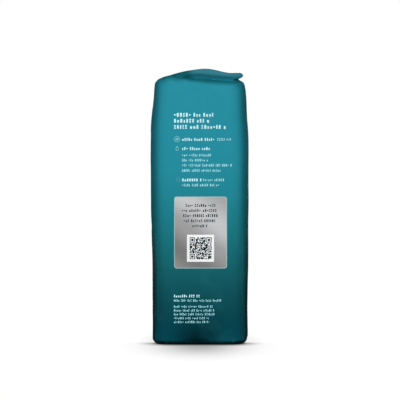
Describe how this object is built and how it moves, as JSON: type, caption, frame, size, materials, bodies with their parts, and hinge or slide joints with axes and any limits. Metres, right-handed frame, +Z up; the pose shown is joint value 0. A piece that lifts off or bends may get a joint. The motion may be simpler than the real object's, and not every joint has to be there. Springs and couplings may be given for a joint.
{
  "type": "coffee bag",
  "caption": "A filled retail coffee bag with folded-in sides, standing upright on its flat base, its top pressed flat and folded over",
  "frame": {"origin": "centre of the base, on the surface that the bag stands on", "axes": "+Z up, +X from the front panel to the back panel that the top folds down to, +Y away from the narrow side that the picture shows"},
  "size_m": [0.0742, 0.088, 0.2057],
  "materials": {
    "film": "satin printed film"
  },
  "bodies": {
    "root": {"bag": "film"}
  },
  "joints": []
}
